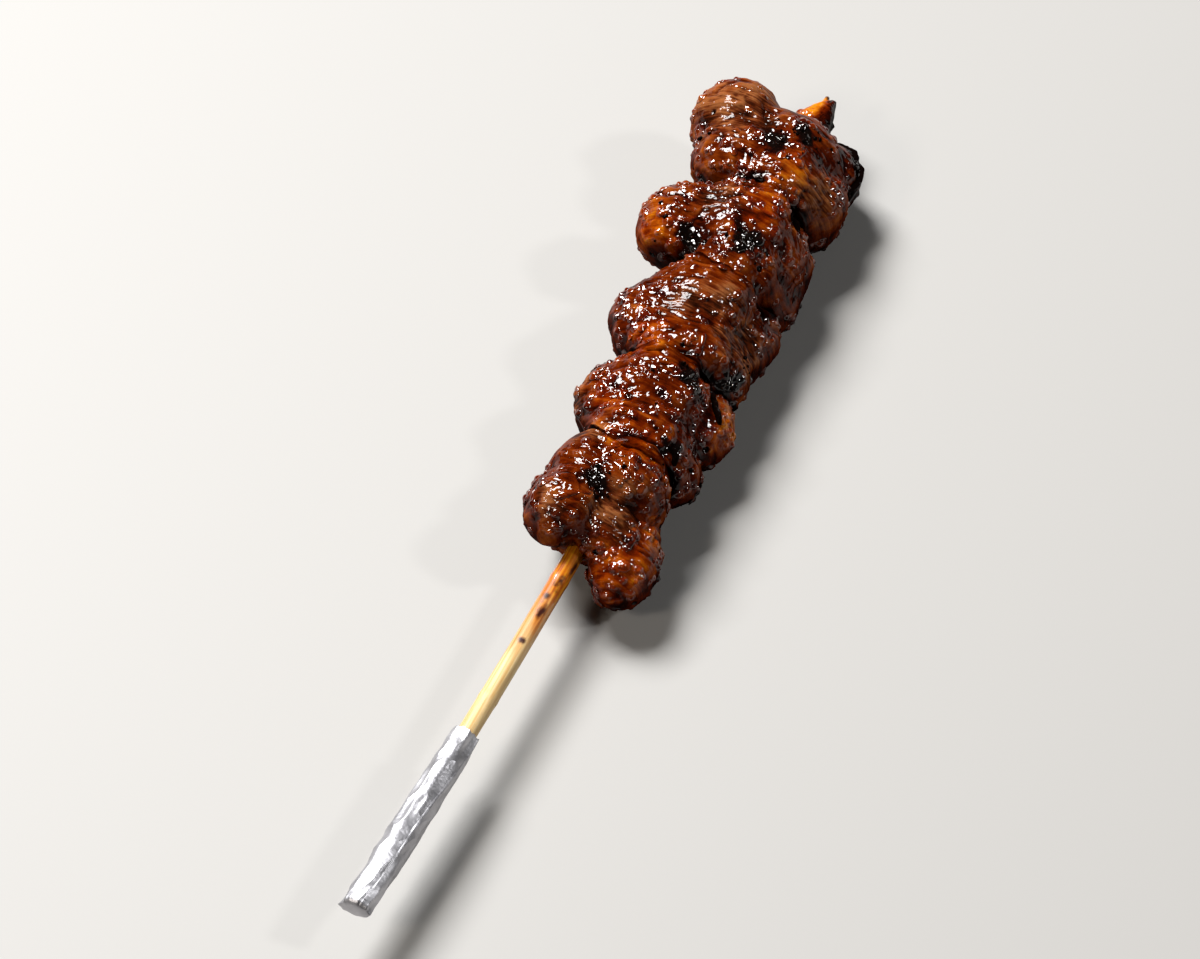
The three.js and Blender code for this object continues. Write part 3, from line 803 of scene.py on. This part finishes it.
# Runs that stand out: x and turn at the start, at the middle and at the end, and half the width.
RUNS = (
    ((92.8, 62), (92.6, 74), (96.8, 95), 0.75), ((90.9, 43), (93.5, 46), (95.8, 44), 0.6),
    ((107.4, 80), (111.2, 81), (110.4, 94), 0.65), ((107.3, 81), (106.6, 88), (109.8, 94), 0.6),
    ((104.4, 98), (102.8, 109), (101.8, 117), 0.8), ((120.8, 104), (119.9, 118), (122.0, 132), 1.15),
    ((122.6, 106), (122.2, 112), (122.0, 119), 0.8), ((127.1, 105), (128.6, 115), (131.4, 123), 1.0),
    ((134.4, 108), (135.1, 116), (139.8, 112), 0.8), ((148.9, 117), (150.6, 121), (152.8, 124), 0.9),
    ((164.2, 48), (163.4, 55), (165.9, 66), 0.75), ((164.4, 48), (166.0, 54), (165.4, 62), 0.6),
    ((162.2, 101), (161.1, 110), (161.8, 119), 1.3), ((164.3, 102), (164.2, 111), (165.5, 121), 1.1),
    ((173.7, 84), (171.3, 100), (171.1, 122), 0.75), ((170.0, 90), (170.6, 80), (170.3, 72), 0.6),
    ((186.6, 106), (187.4, 113), (189.9, 118), 0.9), ((198.6, 48), (199.2, 53), (198.9, 60), 0.7),
    ((135.0, 99), (135.9, 105), (135.6, 112), 0.8), ((182.4, 87), (183.4, 94), (183.8, 101), 0.6),
    ((90.6, 158), (93.0, 158), (95.7, 162), 0.7), ((122.3, 45), (124.0, 49), (125.6, 52), 0.7),
    ((135.9, 160), (136.8, 157), (138.6, 156), 0.7), ((170.4, 160), (172.2, 163), (174.0, 166), 0.6),
    ((112.0, 20), (116.0, 24), (119.0, 18), 0.7), ((140.0, 12), (146.0, 18), (150.0, 12), 0.8),
    ((104.0, 334), (110.0, 328), (114.0, 334), 0.7), ((160.0, 338), (166.0, 332), (172.0, 338), 0.8),
    ((186.0, 346), (192.0, 340), (197.0, 350), 0.8), ((126.0, 210), (131.0, 206), (134.0, 214), 0.7),
    ((178.0, 214), (184.0, 208), (189.0, 216), 0.8), ((192.0, 196), (198.0, 188), (200.0, 178), 0.7),
)


def drop_places(points, marks, seed):
    """Corners of a slice that carry drops: at most one in each cube of DROP_SPACING.

    Drops are likelier along the lines where a noise is 0, in pools of glaze and on burnt places, and rarer
    on bare and deep ones.
    """
    draw = np.random.default_rng(seed)
    contour = np.abs(gradient_noise(points, 5.0, 61))
    wish = (0.25 + 0.75 * np.exp(-(contour / 0.08) ** 2)) * (0.5 + 0.5 * marks["pool"])
    wish = wish * (1 + 0.9 * marks["burnt"]) * (1 - 0.6 * marks["bare"])
    wish = wish * (points[:, 2] > LOWEST_DROP - REST_DEPTH)
    wish = wish * (marks["pool"] > 0) * np.maximum(smoothstep(0.85, 0.6, marks["deep"]), marks["burnt"])
    wish = wish * (points[:, 0] < LAST_DROP_X)
    order = draw.permutation(np.arange(1, len(points) - 1))
    cell = np.floor(points[order] / DROP_SPACING).astype(int)
    _, first = np.unique(cell, axis=0, return_index=True)
    chosen = order[np.sort(first)]
    return chosen[draw.random(len(chosen)) < wish[chosen]]


def drop_cluster(centres, normals, seed):
    """Closed drops with a soft foot: h exp(-(1.35 r)^2.4) up at the share r of the radius, sunk a little.

    Each is drawn out up to half as long again along one direction. Its last ring lies well under the skin.
    """
    draw = np.random.default_rng(seed)
    count = len(centres)
    radius = DROP_RADIUS + DROP_RADIUS_SPREAD * draw.random(count) ** 1.5
    height = radius * (DROP_HEIGHT + DROP_HEIGHT_SPREAD * draw.random(count))
    longer = 1 + 0.5 * draw.random(count) ** 2
    side = np.cross(normals, draw.normal(size=(count, 3)))
    side /= np.linalg.norm(side, axis=1, keepdims=True)
    across = np.cross(normals, side)
    share = np.array([1.3, *np.linspace(1.22, 0.22, DROP_RINGS - 1)])
    up = np.exp(-(1.35 * share) ** 2.4) - 0.1
    up[0] = -0.6
    turn = np.arange(DROP_COLUMNS) * 2 * math.pi / DROP_COLUMNS
    share, turn = np.meshgrid(share, turn, indexing="ij")
    up = np.repeat(up[:, None], DROP_COLUMNS, 1)
    unit = np.stack([share * np.cos(turn), share * np.sin(turn), up], -1).reshape(-1, 3)
    unit = np.vstack([[[0, 0, -0.7]], unit, [[0, 0, 0.9]]])
    size = np.stack([radius * longer, radius, height], -1)
    axes = np.stack([side, across, normals], 1)
    local = unit[None] * size[:, None]
    return centres[:, None] + local @ axes


def on_meat(x, turn):
    """Where straight lines in from far outside, aimed at the stick at each x and turn, first meet the meat.

    Gives the places and the outward normals there.
    """
    outward = straight_out(np.radians(turn))
    axis = np.stack([x, axis_y(x), 0 * x], -1)
    far = axis + 45 * outward
    places, normals = axis.copy(), outward.copy()
    for i in range(len(x)):
        hits = [tree.ray_cast(Vector(far[i]), Vector(-outward[i])) for tree in meat_trees]
        met = [(hit[3], n, hit) for n, hit in enumerate(hits) if hit[0] is not None]
        if met:
            _, n, (place, _, face, _) = min(met, key=lambda m: m[0])
            places[i], normals[i] = place, meat[n][1][meat_faces[face][0]]
    return places, normals


def smooth_along(values, times):
    """Each row of a path replaced, times over, by the mean of itself and its two neighbours."""
    for _ in range(times):
        padded = np.concatenate([values[:, :1], values, values[:, -1:]], axis=1)
        values = (padded[:, :-2] + 2 * values + padded[:, 2:]) / 4
    return values


def paths_on_meat(table, t, stray, place_passes, normal_passes):
    """Places along each row's path on the meat, with the smoothed normals and sideways directions there.

    A path is the parabola through the row's three places in x and turn, at the shares t of its length, and
    stray is added to its x. Places and normals are smoothed the given numbers of times.
    """
    ends = np.array([[*row[0], *row[1], *row[2]] for row in table])
    weight = np.stack([(1 - t) * (1 - 2 * t), 4 * t * (1 - t), t * (2 * t - 1)], 0)
    x, turn = ends[:, 0::2] @ weight + stray, ends[:, 1::2] @ weight
    places, normals = on_meat(x.ravel(), turn.ravel())
    places = smooth_along(places.reshape(*x.shape, 3), place_passes)
    normals = smooth_along(normals.reshape(*x.shape, 3), normal_passes)
    normals /= np.linalg.norm(normals, axis=2, keepdims=True)
    side = np.cross(normals, np.gradient(places, axis=1))
    side /= np.linalg.norm(side, axis=2, keepdims=True) + 1e-9
    return places, normals, side


def run_ridges(table, seed):
    """Closed half-sunk tubes along paths on the meat, each 0.55 as high as it is wide.

    The half width is 0.8 of the row's, times the square root of 1 - (2t - 1)^4 and a sine that goes up and
    down by 0.35, with t from 0 to 1 along the run.
    """
    draw = np.random.default_rng(seed)
    t = np.linspace(0.01, 0.99, RUN_STEPS)
    half = np.array([row[3] for row in table])
    stray = 0.25 * np.sin(9 * t + draw.random((len(half), 1)) * 6)
    places, normals, side = paths_on_meat(table, t, stray, 3, 6)
    phase = t * (9 + 5 * draw.random((len(half), 1))) + 6 * draw.random((len(half), 1))
    wobble = 1 + 0.35 * np.sin(phase)
    width = 0.8 * half[:, None] * (1 - (2 * t - 1) ** 4) ** 0.5 * wobble
    a = np.arange(RUN_SIDES) * 2 * math.pi / RUN_SIDES
    up = 0.55 * width[..., None] * np.sin(a) - 0.12 * width[..., None]
    rings = (places[:, :, None] + side[:, :, None] * (width[..., None] * np.cos(a))[..., None]
             + normals[:, :, None] * up[..., None])
    return np.concatenate([places[:, :1], rings.reshape(len(half), -1, 3), places[:, -1:]], axis=1)


def seam_ring(index):
    """Glaze in the valley between a slice and the next, a closed ring with a half-sunk oval section.

    Its path is the outermost corner of each grid column that touches the next slice, smoothed. Noise takes
    its half width from 0.3 to 1.6 round SEAM_HALF_WIDTH; it is half as high.
    """
    grid = meat[index][0][1:-1].reshape(MEAT_ROWS, MEAT_COLUMNS, 3)
    touches = touching[index][1:-1].reshape(MEAT_ROWS, MEAT_COLUMNS)
    _, out = round_stick(grid.reshape(-1, 3))
    row = np.argmax(np.where(touches, out.reshape(touches.shape), 0), axis=0)
    path = grid[row, np.arange(MEAT_COLUMNS)]
    for _ in range(14):
        path = (np.roll(path, 1, 0) + 2 * path + np.roll(path, -1, 0)) / 4
    path = path[::SEAM_SKIP]
    angle, _ = round_stick(path)
    outward = straight_out(angle)[:, None]
    wide = np.clip(SEAM_HALF_WIDTH + 0.9 * layered_noise(path, 5.0, 62), 0.3, 1.6)[:, None]
    a = (np.arange(SEAM_SIDES) * 2 * math.pi / SEAM_SIDES)[None]
    rings = path[:, None] + outward * (0.5 * wide * np.sin(a) - 0.1)[..., None]
    rings[..., 0] -= wide * np.cos(a)
    rings[..., 2] = np.maximum(rings[..., 2], FLAT_ROUND - REST_DEPTH)
    return rings.reshape(-1, 3)


def ring_faces(steps, sides):
    """Faces of a closed ring of steps sections with sides corners each."""
    number = np.arange(steps * sides).reshape(steps, sides)
    after = np.roll(number, -1, 0)
    quads = np.stack([number, np.roll(number, -1, 1), np.roll(after, -1, 1), after], -1)
    return quads.reshape(-1, 4).tolist()


def joined(groups, faces):
    """Many copies of one mesh as one list of points and faces, kept just clear of the floor."""
    count, corners = groups.shape[:2]
    groups[..., 2] = np.maximum(groups[..., 2], FLOOR_GAP - REST_DEPTH)
    every = np.arange(count)[:, None] * corners
    kinds = [np.array([f for f in faces if len(f) == size]).reshape(-1, size) for size in (4, 3)]
    lists = [(every[:, :, None] + kind).reshape(-1, kind.shape[1]).tolist() for kind in kinds]
    return groups.reshape(-1, 3), lists[0] + lists[1]


def borrowed(points):
    """The marks of the meat's corner nearest to each point, but fully wet and with a nearly smooth film."""
    nearest = [meat_corners.find(point)[1] for point in points.tolist()]
    taken = {key: values[nearest] for key, values in meat_marks.items()}
    return {**taken, "film": taken["film"] * 0.15, "wet": taken["wet"] * 0 + 1}


meat_faces = closed_grid(MEAT_ROWS, MEAT_COLUMNS)
meat_trees = [BVHTree.FromPolygons(points.tolist(), meat_faces) for points, _, _ in meat]
meat_marks = {key: np.concatenate([marks[key] for _, _, marks in meat]) for key in meat[0][2]}
meat_corners = KDTree(sum(len(points) for points, _, _ in meat))
for number, corner in enumerate(np.vstack([points for points, _, _ in meat]).tolist()):
    meat_corners.insert(corner, number)
meat_corners.balance()

chosen = [drop_places(points, marks, 70 + i) for i, (points, _, marks) in enumerate(meat)]
centres = np.vstack([m[0][c] for m, c in zip(meat, chosen)])
upwards = np.vstack([m[1][c] for m, c in zip(meat, chosen)])
drops = joined(drop_cluster(centres, upwards, 80), closed_grid(DROP_RINGS, DROP_COLUMNS))
runs = joined(run_ridges(RUNS, 90), closed_grid(RUN_STEPS, RUN_SIDES))
seams = np.stack([seam_ring(index) for index in range(len(SLICES) - 1)])
seams = joined(seams, ring_faces(seams.shape[1] // SEAM_SIDES, SEAM_SIDES))
seam_wetness = SEAM_WETNESS * smoothstep(-9.0, 0.0, seams[0][:, 2])

for name, (points, faces), wetness in (("glaze_drops", drops, 1), ("glaze_runs", runs, 1),
                                       ("glaze_seams", seams, seam_wetness)):
    marks = borrowed(points)
    piece = make_piece(name, points, faces, pork, {**marks, "wet": marks["wet"] * wetness})
    thin_flanks(piece)
    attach(piece, "root")


# ------------------------------------------------------------------ charred edges and crumbs
# A thin edge of the last slice stood out towards the coals and burnt to a black, ragged flap, and so did a
# few torn ends. Crumbs of burnt sugar stick to the burnt places.

FLAP_STEPS = 90
FLAP_SIDES = 24
FLAP_THICKNESS = 0.75     # half of it, at its root
CRUMB_COUNT = 150
CRUMB_RINGS = 3
CRUMB_COLUMNS = 6
CRUMB_SIZE = (0.22, 0.6)

# Flaps: x and turn at the start, at the middle and at the end, and how far they stand out.
FLAPS = (
    ((190.0, 174), (198.5, 178), (204.5, 164), 1.0), ((126.6, 168), (129.6, 158), (131.0, 146), 1.3),
    ((112.0, 152), (113.6, 142), (114.0, 132), 1.0), ((174.2, 148), (175.6, 140), (176.0, 130), 1.2),
    ((142.0, 214), (147.0, 222), (151.0, 216), 1.5),
)


def flap_fins(table, seed):
    """Closed fins along paths on the meat.

    Across the path a fin is a flattened loop: its half thickness times cos(a), and its height times sin(a),
    both cut down at the ends by the square root of 1 - (2t - 1)^4. Noise makes its edge ragged and bends it.
    """
    t = np.linspace(0.01, 0.99, FLAP_STEPS)
    tall = np.array([row[3] for row in table])[:, None]
    places, normals, side = paths_on_meat(table, t, 0.0, 8, 30)
    ragged = layered_noise(places.reshape(-1, 3), 3.6, seed).reshape(places.shape[:2])
    lean = gradient_noise(places.reshape(-1, 3), 5.0, seed + 9).reshape(places.shape[:2])
    taper = np.sqrt(1 - (2 * t - 1) ** 4)
    height = tall * taper * np.clip(0.8 + 0.5 * ragged, 0.2, 1.3)
    a = (np.arange(FLAP_SIDES) * 2 * math.pi / FLAP_SIDES)[None, None]
    up = np.sin(a) * height[..., None]
    thick = FLAP_THICKNESS * taper[None, :, None] * np.cos(a) * (1 - 0.45 * np.maximum(np.sin(a), 0))
    thick = thick + 0.5 * (lean[..., None] + 0.3) * np.maximum(up, 0)
    rings = places[:, :, None] + side[:, :, None] * thick[..., None] + normals[:, :, None] * up[..., None]
    bumps = 0.12 * layered_noise(rings.reshape(-1, 3), 1.4, seed + 20).reshape(rings.shape[:3])
    rings = rings + normals[:, :, None] * bumps[..., None]
    return np.concatenate([places[:, :1], rings.reshape(len(tall), -1, 3), places[:, -1:]], axis=1)


def crumb_bits(count, seed):
    """Crumbs round the burnt places: balls of CRUMB_RINGS rings, each corner pushed in or out at random."""
    draw = np.random.default_rng(seed)
    picked = draw.integers(len(BURNT), size=count)
    x, turn, size = np.array(BURNT)[picked].T
    x = x + draw.normal(size=count) * size * 1.3
    turn = turn + draw.normal(size=count) * np.degrees(size * 1.3 / MEAT_RADIUS)
    places, normals = on_meat(x, turn)
    radius = CRUMB_SIZE[0] + (CRUMB_SIZE[1] - CRUMB_SIZE[0]) * draw.random(count) ** 2.5
    fall = np.radians([45, 90, 135])
    round_ = np.arange(CRUMB_COLUMNS) * math.pi / 3
    fall, round_ = np.meshgrid(fall, round_, indexing="ij")
    ball = np.stack([np.sin(fall) * np.cos(round_), np.sin(fall) * np.sin(round_), -np.cos(fall)], -1)
    ball = np.vstack([[[0, 0, -1]], ball.reshape(-1, 3), [[0, 0, 1]]])
    uneven = 1 + 0.3 * draw.normal(size=(count, len(ball), 1)).clip(-1.5, 1.5)
    squash = 1 + 0.4 * draw.random((count, 1, 3))
    bits = places[:, None] + normals[:, None] * radius[:, None, None] * 0.3
    return bits + ball[None] * uneven * squash * radius[:, None, None] * 0.8


def blackened(marks):
    """Marks borrowed from the meat, with all of it burnt."""
    return {**marks, "burnt": marks["burnt"] * 0 + 1, "bare": marks["bare"] * 0, "painted_glow": marks["painted_glow"] * 0,
            "film": marks["film"] * 0 + 0.5, "wet": marks["wet"] * 0 + 0.02}


edges = joined(flap_fins(FLAPS, 110), closed_grid(FLAP_STEPS, FLAP_SIDES))
crumbs = joined(crumb_bits(CRUMB_COUNT, 140), closed_grid(CRUMB_RINGS, CRUMB_COLUMNS))
for name, (points, faces) in (("charred_edges", edges), ("burnt_crumbs", crumbs)):
    piece = make_piece(name, points, faces, pork, blackened(borrowed(points)))
    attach(piece, "root")


# ------------------------------------------------------------------ floor, light and camera
# A plain pale floor, a soft key from the upper left and behind, a window, a fill, and a long lens from above
# the handle.

FLOOR_HALF = 3.0          # in metres, as are the places of the camera and the lights
corners = [(FLOOR_HALF * x, FLOOR_HALF * y, 0) for x, y in ((-1, -1), (1, -1), (1, 1), (-1, 1))]
floor_mesh = bpy.data.meshes.new("floor")
floor_mesh.from_pydata(corners, [], [(0, 1, 2, 3)])
floor = bpy.data.objects.new("floor", floor_mesh)
bpy.context.scene.collection.objects.link(floor)
floor_material = blank_material("pale matte floor")
floor_shader = add_node(floor_material, "ShaderNodeBsdfPrincipled", Base_Color="#9d9b98", Roughness=0.6)
floor_mesh.materials.append(finish_material(floor_material, floor_shader.outputs[0]))

HEADING = 23.2            # the stick points this far to the right of the camera's heading
ELEVATION = 49.0
DISTANCE = 1.165
LENS = 190.0              # its focal length, in millimetres on a sensor of 36
ROOM_LIGHT = 0.02         # how bright the room is to what it lights
ROOM_SEEN = 0.85          # and how bright to the camera
heading, elevation = math.radians(HEADING), math.radians(ELEVATION)
back = Vector((-math.cos(heading) * math.cos(elevation), -math.sin(heading) * math.cos(elevation),
               math.sin(elevation)))


def aim(thing, place, target):
    """Puts a camera or light at a place, turned towards the target."""
    thing.location = place
    thing.rotation_euler = (Vector(target) - Vector(place)).to_track_quat("-Z", "Y").to_euler()
    bpy.context.scene.collection.objects.link(thing)


def soft_light(name, place, target, size, power, tint="#ffffff"):
    """A rectangular area light, of a size in metres and a power in watts."""
    lamp = bpy.data.lights.new(name, "AREA")
    lamp.shape = "RECTANGLE"
    lamp.size, lamp.size_y = size
    lamp.energy = power
    lamp.color = colour(tint)[:3]
    aim(bpy.data.objects.new(name, lamp), place, target)


camera_data = bpy.data.cameras.new("camera")
camera_data.lens = LENS
camera_data.sensor_width = 36.0
camera_data.clip_end = 20.0
camera = bpy.data.objects.new("camera", camera_data)
middle = Vector((0.0, 0.0, 0.012))
aim(camera, middle + back * DISTANCE, middle)
bpy.context.scene.camera = camera

LIT = (0.02, 0, 0)        # what the lights are aimed at
soft_light("key", (0.35, 0.65, 1.05), LIT, (0.56, 0.56), 39.0)
soft_light("window", (-0.75, 0.35, 0.8), LIT, (0.18, 0.18), 3.0, "#fff6ea")
soft_light("fill", (0.2, -1.1, 1.1), LIT, (0.14, 0.14), 6.0)

# The room round the floor is pale to look at, but it sends little light back, so that the glaze stays deep.
world = bpy.data.worlds.new("studio")
bpy.context.scene.world = world
world.use_nodes = True
room = world.node_tree.nodes["Background"]
room.inputs["Color"].default_value = colour("#f6f7fb")
seen = add_node(world, "ShaderNodeLightPath").outputs["Is Camera Ray"]
strength = add_node(world, "ShaderNodeMapRange", Value=seen, To_Min=ROOM_LIGHT, To_Max=ROOM_SEEN)
world.node_tree.links.new(strength.outputs["Result"], room.inputs["Strength"])
bpy.context.scene.view_settings.view_transform = "Standard"
